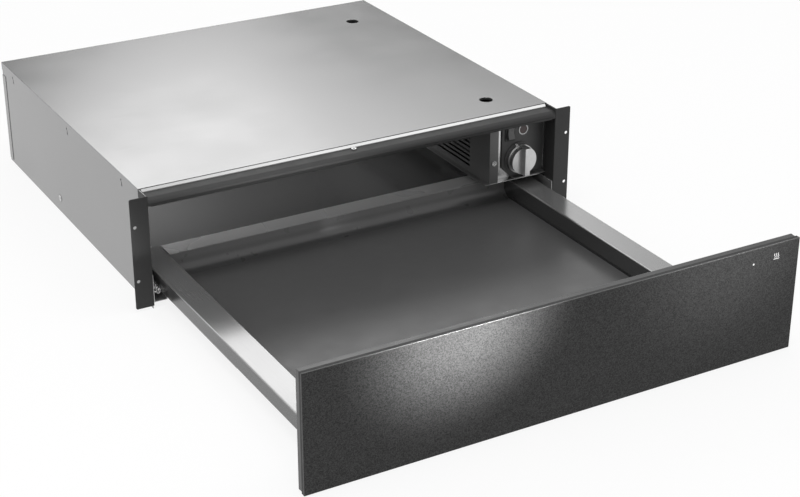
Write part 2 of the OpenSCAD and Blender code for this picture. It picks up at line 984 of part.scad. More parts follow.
module fan_motor() {
    boss_x = fan_low_x + fan_w;
    color("slategray")
        from_flange()
            difference() {
                union() {
                    rod_x(fan_y, fan_z, motor_boss_r, boss_x, boss_x + motor_boss_l + over);
                    rod_x(fan_y, fan_z, motor_r, boss_x + motor_boss_l, boss_x + motor_boss_l + motor_l);
                }
                rod_x(fan_y, fan_z, motor_shaft_r + run_gap, boss_x - over, boss_x + motor_l + side_gap);
            }
}

// Half ring that joins two runs of the element
module element_bend(x, y, turn) {
    translate([x, y, element_z])
        rotate([0, 0, turn])
            rotate_extrude(angle = 180)
                translate([element_pitch / 2, 0])
                    circle(element_r);
}

// Four runs of tube joined by three bends
module heating_element() {
    last_x = element_x + 3 * element_pitch;
    color("firebrick")
        from_flange()
            union() {
                for (x = [element_x, last_x]) {
                    rod_y(x, element_z, element_r, plate_y - terminal_l, element_rear_y);
                }
                for (x = [element_x + element_pitch, element_x + 2 * element_pitch]) {
                    rod_y(x, element_z, element_r, element_front_y, element_rear_y);
                }
                element_bend(element_x + element_pitch / 2, element_rear_y, 0);
                element_bend(last_x - element_pitch / 2, element_rear_y, 0);
                element_bend(element_x + 1.5 * element_pitch, element_front_y, 180);
            }
}

// Plate on the compartment floor that carries the element
module element_plate() {
    last_x = element_x + 3 * element_pitch;
    margin = element_pitch / 2;
    color("silver")
        from_flange()
            difference() {
                block([element_x - margin, plate_y, floor_z],
                      [last_x + margin, plate_y + plate_t, element_z + margin]);
                for (x = [element_x, last_x]) {
                    rod_y(x, element_z, element_r + run_gap, plate_y - over, plate_y + plate_t + over);
                }
            }
}

module thermal_cutout() {
    color("black")
        from_flange()
            rod_y(element_x + 1.5 * element_pitch, element_z - element_r - cutout_r - cutout_gap, cutout_r,
                  plate_y + plate_t, plate_y + plate_t + cutout_l);
}

// Block with three wire slots
module terminal_block() {
    color("ivory")
        from_flange()
            difference() {
                block([block_x, block_y, floor_z], [block_x + block_w, block_y + block_l, floor_z + block_h]);
                for (i = [0:2]) {
                    block([block_x + (i + 0.5) * block_w / 3 - block_slot_w / 2, block_y + block_l / 2,
                           floor_z + block_h - block_slot_d],
                          [block_x + (i + 0.5) * block_w / 3 + block_slot_w / 2, block_y + block_l + over,
                           floor_z + block_h + over]);
                }
            }
}

// Flanged inlet for the mains lead
module cable_gland() {
    color("black")
        from_flange()
            difference() {
                union() {
                    rod_y(gland_x, gland_z, gland_flange_r, casing_d, casing_d + gland_flange_t);
                    rod_y(gland_x, gland_z, gland_r - run_gap, back_y - gland_l, casing_d + over);
                }
                rod_y(gland_x, gland_z, gland_bore_r, back_y - gland_l - over,
                      casing_d + gland_flange_t + over);
            }
}

// Bound wires from the terminal block to the thermostat
module wiring_loom() {
    front_y = bracket_y + bracket_t + thermostat_d / 2;
    rear_y = block_y + block_l / 2;
    color("white")
        from_flange()
            union() {
                rod_x(front_y, loom_z, loom_r, knob_x + thermostat_half, loom_x);
                rod_y(loom_x, loom_z, loom_r, front_y, rear_y);
                rod_x(rear_y, loom_z, loom_r, block_x + block_w, loom_x);
                for (y = [front_y, rear_y]) {
                    translate([loom_x, y, loom_z])
                        sphere(loom_r);
                }
            }
}

// Slides

// Rail against the flange's fold, with a pad that is screwed to the side panel
// and a blade that the middle rail straddles
module slide_fixed(side) {
    color("lightgray")
        from_flange()
            on_side(side)
                difference() {
                    union() {
                        along_y(fixed_front_y, fixed_front_y + slide_l)
                            union() {
                                slide_rect(flange_t, web_low_z, flange_t + rail_t, fixed_flange_top_z);
                                slide_rect(flange_t, web_low_z, blade_u + rail_t, web_low_z + rail_t);
                                slide_rect(blade_u, web_low_z, blade_u + rail_t, blade_top_z);
                            }
                        block([flange_in_x - rail_t / 2, side_screw_y - rail_pad_half,
                               side_screw_z - rail_pad_half],
                              [inner_x, side_screw_y + rail_pad_half, side_screw_z + rail_pad_half]);
                    }
                    rod_x(side_screw_y, side_screw_z, side_screw_r + run_gap, flange_in_x - rail_t - over,
                          inner_x + over);
                }
}

module slide_fixed_left() {
    slide_fixed(-1);
}

module slide_fixed_right() {
    slide_fixed(1);
}

// Two legs round the fixed blade and a flange into the inner rail
module slide_middle(side) {
    color("gainsboro")
        from_flange()
            on_side(side)
                along_y(middle_front_y, middle_front_y + middle_l)
                    union() {
                        slide_rect(leg_u, leg_low_z, leg_u + rail_t, middle_web_z + rail_t);
                        slide_rect(far_leg_u, leg_low_z, far_leg_u + rail_t, middle_web_z + rail_t);
                        slide_rect(leg_u, middle_web_z, middle_end_u, middle_web_z + rail_t);
                    }
}

module slide_middle_left() {
    slide_middle(-1);
}

module slide_middle_right() {
    slide_middle(1);
}

// Rail under the drawer's ledge that hooks round the middle rail's flange
module slide_inner(side) {
    color("lightgray")
        from_flange()
            on_side(side)
                along_y(inner_front_y, inner_front_y + inner_l)
                    union() {
                        slide_rect(leg_u + rail_t, inner_web_z, inner_wall_u + rail_t, under_ledge_z);
                        slide_rect(inner_wall_u, inner_lip_z, inner_wall_u + rail_t, under_ledge_z);
                        slide_rect(inner_wall_u + rail_t - inner_lip_w, inner_lip_z,
                                   inner_wall_u + rail_t, inner_lip_z + rail_t);
                    }
}

module slide_inner_left() {
    slide_inner(-1);
}

module slide_inner_right() {
    slide_inner(1);
}

// One ball at a width from the side panel
module ball(u, y, z) {
    translate([inner_x - u, y, z])
        sphere(ball_r);
}

// Row of balls along a cage
module ball_row(u, y0, z) {
    for (i = [0:ball_count - 1]) {
        ball(u, y0 + ball_pitch * (i + 0.5), z);
    }
}

// Cage over the blade, between the fixed and the middle rail
module ball_cage_rear(side) {
    near_u = leg_u + rail_t + race / 2;
    far_u = far_leg_u - race / 2;
    top_z = (blade_top_z + middle_web_z) / 2 + cage_t / 2;
    color("khaki")
        from_flange()
            on_side(side)
                union() {
                    along_y(rear_cage_y, rear_cage_y + cage_l)
                        union() {
                            slide_rect(near_u - cage_t / 2, cage_leg_low_z, near_u + cage_t / 2, top_z);
                            slide_rect(far_u - cage_t / 2, cage_leg_low_z, far_u + cage_t / 2, top_z);
                            slide_rect(near_u - cage_t / 2, top_z - cage_t, far_u + cage_t / 2, top_z);
                        }
                    ball_row(near_u, rear_cage_y, rear_ball_z);
                    ball_row(far_u, rear_cage_y, rear_ball_z);
                }
}

module ball_cage_rear_left() {
    ball_cage_rear(-1);
}

module ball_cage_rear_right() {
    ball_cage_rear(1);
}

// Cage round the middle rail's flange, inside the inner rail
module ball_cage_front(side) {
    high_z = middle_web_z + rail_t + race / 2;
    low_z = middle_web_z - race / 2;
    wall_u = (middle_end_u + inner_wall_u) / 2;
    near_u = front_ball_u - ball_r;
    color("khaki")
        from_flange()
            on_side(side)
                union() {
                    along_y(front_cage_y, front_cage_y + cage_l)
                        union() {
                            slide_rect(near_u, high_z - cage_t / 2, wall_u + cage_t / 2, high_z + cage_t / 2);
                            slide_rect(near_u, low_z - cage_t / 2, wall_u + cage_t / 2, low_z + cage_t / 2);
                            slide_rect(wall_u - cage_t / 2, low_z - cage_t / 2,
                                       wall_u + cage_t / 2, high_z + cage_t / 2);
                        }
                    ball_row(front_ball_u, front_cage_y, high_z);
                    ball_row(front_ball_u, front_cage_y, low_z);
                }
}

module ball_cage_front_left() {
    ball_cage_front(-1);
}

module ball_cage_front_right() {
    ball_cage_front(1);
}

// Drawer

// Section with two rounded top corners
module ledge_section(x0, x1, low, top, r) {
    rect(x0, low, x1, top - r);
    rect(x0 + r, low, x1 - r, top);
    for (x = [x0 + r, x1 - r]) {
        translate([x, top - r])
            circle(r);
    }
}

// Channel that forms the inner wall, the ledge and the outer wall of a side
module side_channel(side) {
    low_z = tray_low_z - drawer_t;
    color("gainsboro")
        from_flange()
            on_side(side)
                along_y(panel_back_y, drawer_back_y)
                    union() {
                        difference() {
                            ledge_section(ledge_in_x, ledge_out_x, low_z, ledge_z, ledge_corner_r);
                            ledge_section(ledge_in_x + drawer_t, ledge_out_x - drawer_t, low_z - over,
                                          under_ledge_z, ledge_corner_r - drawer_t);
                            rect(ledge_in_x + drawer_t, low_z - over, ledge_out_x + over, outer_wall_low_z);
                        }
                        rect(ledge_in_x - channel_flange_w, low_z, ledge_in_x + drawer_t, tray_low_z);
                    }
}

module side_channel_left() {
    side_channel(-1);
}

module side_channel_right() {
    side_channel(1);
}

// Floor with a front upstand and a coved rear wall
module tray() {
    cove_y = rear_wall_y - cove_r;
    cove_z = tray_floor_z + cove_r;
    color("dimgray")
        from_flange()
            along_x(-tray_half, tray_half)
                union() {
                    rect(panel_back_y, tray_low_z, cove_y, tray_floor_z);
                    rect(panel_back_y, tray_low_z, panel_back_y + drawer_t, under_ledge_z);
                    rect(rear_wall_y, cove_z, rear_wall_y + drawer_t, under_ledge_z);
                    intersection() {
                        difference() {
                            translate([cove_y, cove_z])
                                circle(cove_r + drawer_t);
                            translate([cove_y, cove_z])
                                circle(cove_r);
                        }
                        rect(cove_y, tray_low_z - over, rear_wall_y + drawer_t + over, cove_z);
                    }
                }
}

module tray_mat() {
    mat_half = tray_half - mat_gap;
    color("darkslategray")
        from_flange()
            block([-mat_half, panel_back_y + drawer_t + side_gap, tray_floor_z],
                  [mat_half, rear_wall_y - cove_r, tray_floor_z + mat_t]);
}

// Flat ledge behind the tray, with the drawer's back wall
module rear_ledge() {
    color("gray")
        from_flange()
            along_x(side_gap - tray_half, tray_half - side_gap)
                union() {
                    rect(rear_wall_y, under_ledge_z, drawer_back_y, ledge_z);
                    rect(drawer_back_y - drawer_t, tray_low_z, drawer_back_y, ledge_z);
                }
}

// Front panel

module front_panel() {
    half = panel_w / 2;
    color("dimgray")
        from_flange()
            difference() {
                block([-half, panel_front_y, panel_low_z], [half, gasket_front_y, panel_top_z]);
                rod_y(light_x, panel_top_z - light_drop, light_r + run_gap, panel_front_y - over,
                      gasket_front_y + over);
            }
}

// Shallow tray behind the front panel, open to the front
module panel_frame() {
    half = panel_w / 2 - frame_inset;
    color("gray")
        from_flange()
            difference() {
                block([-half, frame_front_y, panel_low_z + frame_inset],
                      [half, panel_back_y, panel_top_z - frame_inset]);
                block([frame_wall - half, frame_front_y - over, panel_low_z + frame_inset + frame_wall],
                      [half - frame_wall, panel_back_y - frame_wall, panel_top_z - frame_inset - frame_wall]);
                for (side = [-1, 1]) {
                    on_side(side)
                        for (z = [panel_screw_low_z, panel_screw_low_z + panel_screw_pitch]) {
                            rod_y(bracket_mid_x(), z, panel_screw_r + run_gap,
                                  panel_back_y - frame_wall - over, panel_back_y + over);
                        }
                }
            }
}

// Adhesive seal between the front panel and its frame
module panel_gasket() {
    half = panel_w / 2 - 2 * frame_inset;
    low = panel_low_z + 2 * frame_inset;
    high = panel_top_z - 2 * frame_inset;
    color("black")
        from_flange()
            difference() {
                block([-half, gasket_front_y, low], [half, frame_front_y, high]);
                block([gasket_w - half, gasket_front_y - over, low + gasket_w],
                      [half - gasket_w, frame_front_y + over, high - gasket_w]);
            }
}

// Light pipe that shows in the front panel
module panel_light() {
    color("white")
        from_flange()
            rod_y(light_x, panel_top_z - light_drop, light_r, panel_front_y, panel_back_y - frame_wall);
}

// Middle of a panel bracket, between a channel's walls
function bracket_mid_x() = (ledge_in_x + ledge_out_x) / 2;

// Plates in the channels' front ends that take the panel's screws
module panel_brackets() {
    color("silver")
        from_flange()
            for (side = [-1, 1]) {
                on_side(side)
                    difference() {
                        block([ledge_in_x + drawer_t, panel_back_y, tray_low_z],
                              [ledge_out_x - drawer_t, panel_back_y + bracket_plate_t,
                               under_ledge_z - drawer_t]);
                        for (z = [panel_screw_low_z, panel_screw_low_z + panel_screw_pitch]) {
                            rod_y(bracket_mid_x(), z, panel_screw_r + run_gap, panel_back_y - over,
                                  panel_back_y + bracket_plate_t + over);
                        }
                    }
            }
}

module panel_screws() {
    head_y = panel_back_y + bracket_plate_t;
    color("silver")
        from_flange()
            for (side = [-1, 1]) {
                on_side(side)
                    for (z = [panel_screw_low_z, panel_screw_low_z + panel_screw_pitch]) {
                        rod_y(bracket_mid_x(), z, panel_screw_head_r, head_y, head_y + panel_screw_head_h);
                        rod_y(bracket_mid_x(), z, panel_screw_r, head_y - panel_screw_l, head_y + over / 2);
                    }
            }
}

// Latch

// Tab under the tray that meets the latch's plunger
module latch_striker() {
    color("silver")
        from_flange()
            union() {
                block([-striker_half, striker_y - striker_t, striker_low_z],
                      [striker_half, striker_y, tray_low_z]);
                block([-striker_half, striker_y - striker_foot_l, tray_low_z - drawer_t],
                      [striker_half, striker_y, tray_low_z]);
            }
}

module latch_body() {
    color("black")
        from_flange()
            difference() {
                block([-latch_half, latch_front_y, pan_t], [latch_half, latch_rear_y, latch_top_z]);
                block([-plunger_half - plunger_fit, latch_front_y - over, plunger_low_z - plunger_fit],
                      [plunger_half + plunger_fit, plunger_front_y + plunger_l + plunger_stroke + side_gap,
                       plunger_high_z + plunger_fit]);
            }
}

module latch_plunger() {
    color("white")
        from_flange()
            block([-plunger_half, plunger_front_y, plunger_low_z],
                  [plunger_half, plunger_front_y + plunger_l, plunger_high_z]);
}

base_pan();
side_panel_left();
side_panel_right();
rear_panel();
top_cover();
flange_left();
flange_right();
front_rail();
rail_screw();
side_screws();
louvre_wall();
compartment_floor();
control_bracket();
control_panel();
wall_screw();
temperature_knob();
thermostat_shaft();
thermostat_body();
switch_housing();
rocker();
lamp_bezel();
lamp_lens();
fan_housing();
fan_impeller();
motor_shaft();
fan_motor();
heating_element();
element_plate();
thermal_cutout();
terminal_block();
cable_gland();
wiring_loom();
slide_fixed_left();
slide_fixed_right();
slide_middle_left();
slide_middle_right();
slide_inner_left();
slide_inner_right();
ball_cage_rear_left();
ball_cage_rear_right();
ball_cage_front_left();
ball_cage_front_right();
side_channel_left();
side_channel_right();
tray();
tray_mat();
rear_ledge();
front_panel();
panel_frame();
panel_gasket();
panel_light();
panel_brackets();
panel_screws();
latch_striker();
latch_body();
latch_plunger();
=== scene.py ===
"""Looks of the built-in warming drawer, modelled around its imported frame. Lengths are in metres."""
import json
import math

import bmesh
import bpy
from mathutils import Matrix, Vector

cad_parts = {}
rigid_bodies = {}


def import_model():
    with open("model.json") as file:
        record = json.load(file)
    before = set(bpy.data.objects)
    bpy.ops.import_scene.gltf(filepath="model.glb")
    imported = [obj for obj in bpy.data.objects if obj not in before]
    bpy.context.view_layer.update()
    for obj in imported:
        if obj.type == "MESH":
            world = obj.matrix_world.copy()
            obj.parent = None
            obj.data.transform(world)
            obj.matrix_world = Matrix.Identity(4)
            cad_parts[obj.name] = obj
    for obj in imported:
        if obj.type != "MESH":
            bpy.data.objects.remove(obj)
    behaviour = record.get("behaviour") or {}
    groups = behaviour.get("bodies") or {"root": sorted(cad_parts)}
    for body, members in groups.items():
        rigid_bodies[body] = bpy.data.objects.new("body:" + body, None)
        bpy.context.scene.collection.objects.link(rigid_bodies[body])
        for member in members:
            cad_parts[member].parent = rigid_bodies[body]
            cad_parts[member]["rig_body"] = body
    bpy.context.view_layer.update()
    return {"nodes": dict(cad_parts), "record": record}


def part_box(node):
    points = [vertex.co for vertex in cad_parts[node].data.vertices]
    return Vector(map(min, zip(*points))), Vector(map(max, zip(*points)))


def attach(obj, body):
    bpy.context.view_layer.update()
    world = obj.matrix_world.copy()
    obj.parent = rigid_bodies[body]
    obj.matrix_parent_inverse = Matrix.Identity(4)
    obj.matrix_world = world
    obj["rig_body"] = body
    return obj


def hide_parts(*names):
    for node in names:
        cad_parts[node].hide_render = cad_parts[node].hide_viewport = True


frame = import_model()
MM = 0.001

# Boxes of the frame that the added pieces are placed by
casing_low, casing_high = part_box("top_cover")
panel_low, panel_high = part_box("front_panel")


# Camera

def add_camera():
    """Camera of the photograph: its place, direction and lens come from a fit to the object's corners."""
    place = Vector((-914.4, -1958.6, 941.3)) * MM
    azimuth = math.radians(-29.97)
    elevation = math.radians(25.17)
    roll = math.radians(0.19)
    forward = Vector((-math.sin(azimuth) * math.cos(elevation), math.cos(azimuth) * math.cos(elevation),
                      -math.sin(elevation)))
    level = Vector((math.cos(azimuth), math.sin(azimuth), 0))
    upright = level.cross(forward)
    right = level * math.cos(roll) + upright * math.sin(roll)
    up = upright * math.cos(roll) - level * math.sin(roll)
    turn = Matrix((right, up, -forward)).transposed().to_4x4()
    data = bpy.data.cameras.new("camera")
    data.sensor_width = 36
    data.lens = 79.8
    data.shift_x = -0.0174
    data.shift_y = -0.0194
    camera = bpy.data.objects.new("camera", data)
    camera.matrix_world = Matrix.Translation(place) @ turn
    bpy.context.scene.collection.objects.link(camera)
    bpy.context.scene.camera = camera


# Studio

# Colour of the studio floor, and the share of it that shows as plain white
FLOOR_TONE = 0.94
FLOOR_GLOW = 0.84
# Fill lamps under the cover: name, x, y, width, power
CAVITY_LAMPS = (
    ("cavity_fill", 0.03, 0.03, 0.28, 0.34),
    ("cavity_fill_left", -0.20, 0.05, 0.10, 0.80),
)
CAVITY_LAMP_Z = 0.132
CAVITY_LAMP_DEPTH = 0.28


def maths(tree, operation, first, second=None):
    """Output of a math node; the second input is a socket or a number."""
    node = tree.nodes.new("ShaderNodeMath")
    node.operation = operation
    tree.links.new(first, node.inputs[0])
    if isinstance(second, (int, float)):
        node.inputs[1].default_value = second
    elif second is not None:
        tree.links.new(second, node.inputs[1])
    return node.outputs[0]


def seen_rays(tree, path):
    """1 for rays of the camera, of a reflection or through glass, and 0 for light on matt faces."""
    rays = maths(tree, "MAXIMUM", path.outputs["Is Camera Ray"], path.outputs["Is Glossy Ray"])
    return maths(tree, "MAXIMUM", rays, path.outputs["Is Transmission Ray"])


def add_lamp(name, data, place, target, power):
    """Lamp that faces a point and that the camera doesn't see."""
    data.energy = power
    lamp = bpy.data.objects.new(name, data)
    lamp.location = place
    lamp.rotation_mode = "QUATERNION"
    lamp.rotation_quaternion = (Vector(target) - Vector(place)).to_track_quat("-Z", "Y")
    lamp.visible_camera = False
    bpy.context.scene.collection.objects.link(lamp)
    return lamp


def add_softbox(name, place, target, width, height, power):
    """Rectangular lamp that faces a point."""
    data = bpy.data.lights.new(name, "AREA")
    data.shape = "RECTANGLE"
    data.size = width
    data.size_y = height
    return add_lamp(name, data, place, target, power)


def add_spot(name, place, target, cone, power):
    """Narrow soft-edged lamp with a cone in degrees."""
    data = bpy.data.lights.new(name, "SPOT")
    data.spot_size = math.radians(cone)
    data.spot_blend = 1.0
    data.shadow_soft_size = 0.04
    return add_lamp(name, data, place, target, power)


def add_floor():
    """White floor that stays white for the camera and keeps a soft shadow."""
    half = 12
    corners = [(-half, -half, 0), (half, -half, 0), (half, half, 0), (-half, half, 0)]
    mesh = bpy.data.meshes.new("floor")
    mesh.from_pydata(corners, [], [(0, 1, 2, 3)])
    floor = bpy.data.objects.new("floor", mesh)
    floor.location.z = -0.2 * MM
    bpy.context.scene.collection.objects.link(floor)
    mat = bpy.data.materials.new("studio_floor")
    mat.use_nodes = True
    tree = mat.node_tree
    tree.nodes.clear()
    out = tree.nodes.new("ShaderNodeOutputMaterial")
    plain = tree.nodes.new("ShaderNodeBsdfDiffuse")
    plain.inputs["Color"].default_value = (FLOOR_TONE, FLOOR_TONE, FLOOR_TONE, 1)
    glow = tree.nodes.new("ShaderNodeEmission")
    glow.inputs["Color"].default_value = (1, 1, 1, 1)
    glow.inputs["Strength"].default_value = 1.0
    path = tree.nodes.new("ShaderNodeLightPath")
    seen = maths(tree, "MULTIPLY", seen_rays(tree, path), FLOOR_GLOW)
    mix = tree.nodes.new("ShaderNodeMixShader")
    tree.links.new(seen, mix.inputs["Fac"])
    tree.links.new(plain.outputs[0], mix.inputs[1])
    tree.links.new(glow.outputs[0], mix.inputs[2])
    tree.links.new(mix.outputs[0], out.inputs["Surface"])
    mesh.materials.append(mat)


def heading(azimuth, elevation):
    """Direction with azimuth 0 along +Y and 90 along +X, in degrees."""
    a = math.radians(azimuth)
    e = math.radians(elevation)
    return (math.sin(a) * math.cos(e), math.cos(a) * math.cos(e), math.sin(e))


# Soft boxes and flags in the surroundings: azimuth, elevation, inner and outer radius, level inside; degrees
SKY_LOBES = (
    (23.5, 29, 2, 14, 4.0),
    (9, 17, 4, 11, 0.05),
    (17, 15, 2, 7, 0.42),
    (25, 14.5, 2, 7, 0.55),
    (32, 14.5, 2, 7, 0.5),
    (31, 20.5, 1, 7, 0.70),
    (27.5, 18.5, 1, 4, 0.85),
    (36, 21, 1, 5, 1.35),
    (114, 58, 4, 15, 5.0),
    (-20, 35, 6, 16, 4.0),
    (112, 27, 2, 13, 2.4),
    (205, 30, 2, 13, 2.8),
    (295, 27, 2, 13, 2.8),
)
# Level of the surroundings for light on matt faces, and for what polished ones reflect
SKY_LEVEL = 0.6
SKY_SHINE = 0.8


def add_world():
    """Surroundings that the camera sees as white, with soft boxes and flags that polished steel shows."""
    world = bpy.data.worlds.new("studio")
    bpy.context.scene.world = world
    world.use_nodes = True
    tree = world.node_tree
    tree.nodes.clear()
    out = tree.nodes.new("ShaderNodeOutputWorld")
    sky = tree.nodes.new("ShaderNodeBackground")
    sky.inputs["Color"].default_value = (1, 1, 1, 1)
    coords = tree.nodes.new("ShaderNodeTexCoord").outputs["Generated"]

    path = tree.nodes.new("ShaderNodeLightPath")
    base = tree.nodes.new("ShaderNodeMapRange")
    base.inputs["To Min"].default_value = SKY_LEVEL
    base.inputs["To Max"].default_value = SKY_SHINE
    tree.links.new(seen_rays(tree, path), base.inputs["Value"])
    level = base.outputs["Result"]
    for azimuth, elevation, inner, outer, inside in SKY_LOBES:
        dot = tree.nodes.new("ShaderNodeVectorMath")
        dot.operation = "DOT_PRODUCT"
        dot.inputs[1].default_value = heading(azimuth, elevation)
        tree.links.new(coords, dot.inputs[0])
        fade = tree.nodes.new("ShaderNodeMapRange")
        fade.interpolation_type = "SMOOTHSTEP"
        fade.inputs["From Min"].default_value = math.cos(math.radians(outer))
        fade.inputs["From Max"].default_value = math.cos(math.radians(inner))
        fade.inputs["To Min"].default_value = 1.0
        fade.inputs["To Max"].default_value = inside
        tree.links.new(dot.outputs["Value"], fade.inputs["Value"])
        level = maths(tree, "MULTIPLY", level, fade.outputs["Result"])
    level = maths(tree, "MAXIMUM", level, path.outputs["Is Camera Ray"])
    tree.links.new(level, sky.inputs["Strength"])
    tree.links.new(sky.outputs[0], out.inputs["Surface"])


def add_studio():
    """Floor, surroundings and lamps."""
    add_floor()
    add_world()
    add_softbox("overhead", (-0.6, -0.9, 3.0), (0, -0.3, 0), 2.0, 1.4, 30)
    add_spot("front_accent", (0.95, -2.2, 0.36), (-0.125, -0.68, 0.130), 5.3, 1450)
    add_spot("front_accent_right", (1.35, -2.2, 0.36), (0.20, -0.68, 0.14), 6.5, 170)
    for name, x, y, width, power in CAVITY_LAMPS:
        cavity = add_softbox(name, (x, y, CAVITY_LAMP_Z), (x, y, 0), width, CAVITY_LAMP_DEPTH, power)
        cavity.visible_glossy = False


# Materials

class Shader:
    """A material with one principled shader, and short calls for the nodes that feed it."""

    def __init__(self, name, **constants):
        self.mat = bpy.data.materials.new(name)
        self.mat.use_nodes = True
        self.tree = self.mat.node_tree
        self.tree.nodes.clear()
        out = self.add("ShaderNodeOutputMaterial")
        self.bsdf = self.add("ShaderNodeBsdfPrincipled")
        self.tree.links.new(self.bsdf.outputs["BSDF"], out.inputs["Surface"])
        self.coords = self.add("ShaderNodeTexCoord").outputs["Object"]
        for socket, value in constants.items():
            self.bsdf.inputs[socket.replace("_", " ")].default_value = value

    def add(self, kind):
        return self.tree.nodes.new(kind)

    def link(self, source, target):
        self.tree.links.new(source, target)

    def stretched(self, scale):
        """Object coordinates scaled per axis, in cycles per metre."""
        mapping = self.add("ShaderNodeMapping")
        mapping.inputs["Scale"].default_value = scale
        self.link(self.coords, mapping.inputs["Vector"])
        return mapping.outputs["Vector"]

    def noise(self, scale, detail=3.0, roughness=0.55):
        """Noise value from 0 to 1 with its own scale on each axis."""
        node = self.add("ShaderNodeTexNoise")
        node.inputs["Scale"].default_value = 1.0
        node.inputs["Detail"].default_value = detail
        node.inputs["Roughness"].default_value = roughness
        self.link(self.stretched(scale), node.inputs["Vector"])
        return node.outputs["Fac"]

    def ramp(self, value, low, high, start=0.3, stop=0.7):
        """Colour from low to high as the value goes from start to stop."""
        node = self.add("ShaderNodeValToRGB")
        first, last = node.color_ramp.elements
        first.position = start
        first.color = (*low, 1)
        last.position = stop
        last.color = (*high, 1)
        self.link(value, node.inputs["Fac"])
        return node.outputs["Color"]

    def spread(self, value, low, high):
        """Number from low to high as the value goes from 0.3 to 0.7."""
        node = self.add("ShaderNodeMapRange")
        node.inputs["From Min"].default_value = 0.3
        node.inputs["From Max"].default_value = 0.7
        node.inputs["To Min"].default_value = low
        node.inputs["To Max"].default_value = high
        self.link(value, node.inputs["Value"])
        return node.outputs["Result"]

    def blended(self, share, first, second):
        """Colour from the first to the second as the share goes from 0 to 1."""
        node = self.add("ShaderNodeMix")
        node.data_type = "RGBA"
        self.link(share, node.inputs["Factor"])
        self.link(first, node.inputs["A"])
        self.link(second, node.inputs["B"])
        return node.outputs["Result"]

    def along(self, axis):
        """Object coordinate along X, Y or Z."""
        split = self.add("ShaderNodeSeparateXYZ")
        self.link(self.coords, split.inputs[0])
        return split.outputs["XYZ"[axis]]

    def near_side(self, axis, low, high, width):
        """1 within a width of a panel's two sides across an axis, and 0 between."""
        offset = maths(self.tree, "SUBTRACT", self.along(axis), (low[axis] + high[axis]) / 2)
        away = maths(self.tree, "ABSOLUTE", offset)
        return maths(self.tree, "GREATER_THAN", away, (high[axis] - low[axis]) / 2 - width)

    def near_rim(self, low, high, width):
        """1 within a width of the outline of an upright panel, and 0 further in."""
        sides = self.near_side(0, low, high, width)
        ends = self.near_side(2, low, high, width)
        return maths(self.tree, "MAXIMUM", sides, ends)

    def colour(self, output):
        self.link(output, self.bsdf.inputs["Base Color"])

    def rough(self, output):
        self.link(output, self.bsdf.inputs["Roughness"])

    def bump(self, value, depth, strength=1.0):
        """Relief of a depth in metres."""
        node = self.add("ShaderNodeBump")
        node.inputs["Strength"].default_value = strength
        node.inputs["Distance"].default_value = depth
        self.link(value, node.inputs["Height"])
        self.link(node.outputs["Normal"], self.bsdf.inputs["Normal"])


def grey(value):
    """Neutral linear colour that shows as the given sRGB value from 0 to 1."""
    linear = value / 12.92 if value <= 0.04045 else ((value + 0.055) / 1.055) ** 2.4
    return (linear, linear, linear)


def sheet_steel(name, tone, spread, roughness, grain=(30, 1400, 1400), metallic=0.85, top=None):
    """Rolled steel sheet: fine lines along one axis, broad clouding and a soft shine.

    The last argument gives a height and the lighter tone of what lies above it: painted light, standing in
    for the light that the upper faces catch.
    """
    shader = Shader(name, Metallic=metallic)
    lines = shader.noise(grain, 4.0)
    clouds = shader.noise((9, 9, 9), 2.0)
    plain = shader.ramp(lines, grey(tone - spread), grey(tone + spread))
    # Painted light: above the height the sheet takes a lighter tone
    if top:
        height, tone = top
        above = maths(shader.tree, "GREATER_THAN", shader.along(2), height)
        plain = shader.blended(above, plain, shader.ramp(lines, grey(tone - spread), grey(tone + spread)))
    shader.colour(plain)
    shader.rough(shader.spread(clouds, roughness - 0.03, roughness + 0.03))
    shader.bump(lines, 0.002 * MM, 0.25)
    return shader.mat


def coated_metal(name, tone, roughness, sparkle=0.02, orange_peel=0.01, gloss=0.5, painted_light_rise=None):
    """Powder coat over metal: slight orange peel and a fine scatter of tone.

    The last argument gives a lower and an upper height, and the tone that the coat reaches by the upper one:
    painted light, a tone that grows lighter upward in place of the light on a wall's upper part.
    """
    shader = Shader(name, Metallic=0.0, Specular_IOR_Level=gloss)
    grains = shader.noise((2600, 2600, 2600), 2.0)
    plain = shader.ramp(grains, grey(tone - sparkle), grey(tone + sparkle))
    # Painted light: the coat's tone grows lighter between the two heights
    if painted_light_rise:
        low, high, tone = painted_light_rise
        share = shader.add("ShaderNodeMapRange")
        share.inputs["From Min"].default_value = low
        share.inputs["From Max"].default_value = high
        shader.link(shader.along(2), share.inputs["Value"])
        plain = shader.blended(share.outputs["Result"], plain,
                               shader.ramp(grains, grey(tone - sparkle), grey(tone + sparkle)))
    shader.colour(plain)
    clouds = shader.noise((40, 40, 40), 2.0)
    shader.rough(shader.spread(clouds, roughness - 0.04, roughness + 0.04))
    shader.bump(shader.noise((900, 900, 900), 2.0), orange_peel * MM, 0.6)
    return shader.mat


def moulded(name, tone, roughness, tint=None):
    """Moulded plastic with a fine spark-eroded texture."""
    shader = Shader(name)
    grains = shader.noise((1800, 1800, 1800), 3.0)
    low = tuple(c * 0.94 for c in (tint or grey(tone)))
    high = tuple(min(1.0, c * 1.06) for c in (tint or grey(tone)))
    shader.colour(shader.ramp(grains, low, high))
    shader.rough(shader.spread(shader.noise((60, 60, 60), 2.0), roughness - 0.05, roughness + 0.05))
    shader.bump(grains, 0.01 * MM, 0.5)
    return shader.mat


def plated(name, tone, roughness):
    """Bright plating with faint clouding."""
    shader = Shader(name, Metallic=1.0)
    clouds = shader.noise((120, 120, 120), 3.0)
    shader.colour(shader.ramp(clouds, grey(tone - 0.03), grey(tone + 0.03)))
    shader.rough(shader.spread(clouds, roughness - 0.05, roughness + 0.05))
    return shader.mat


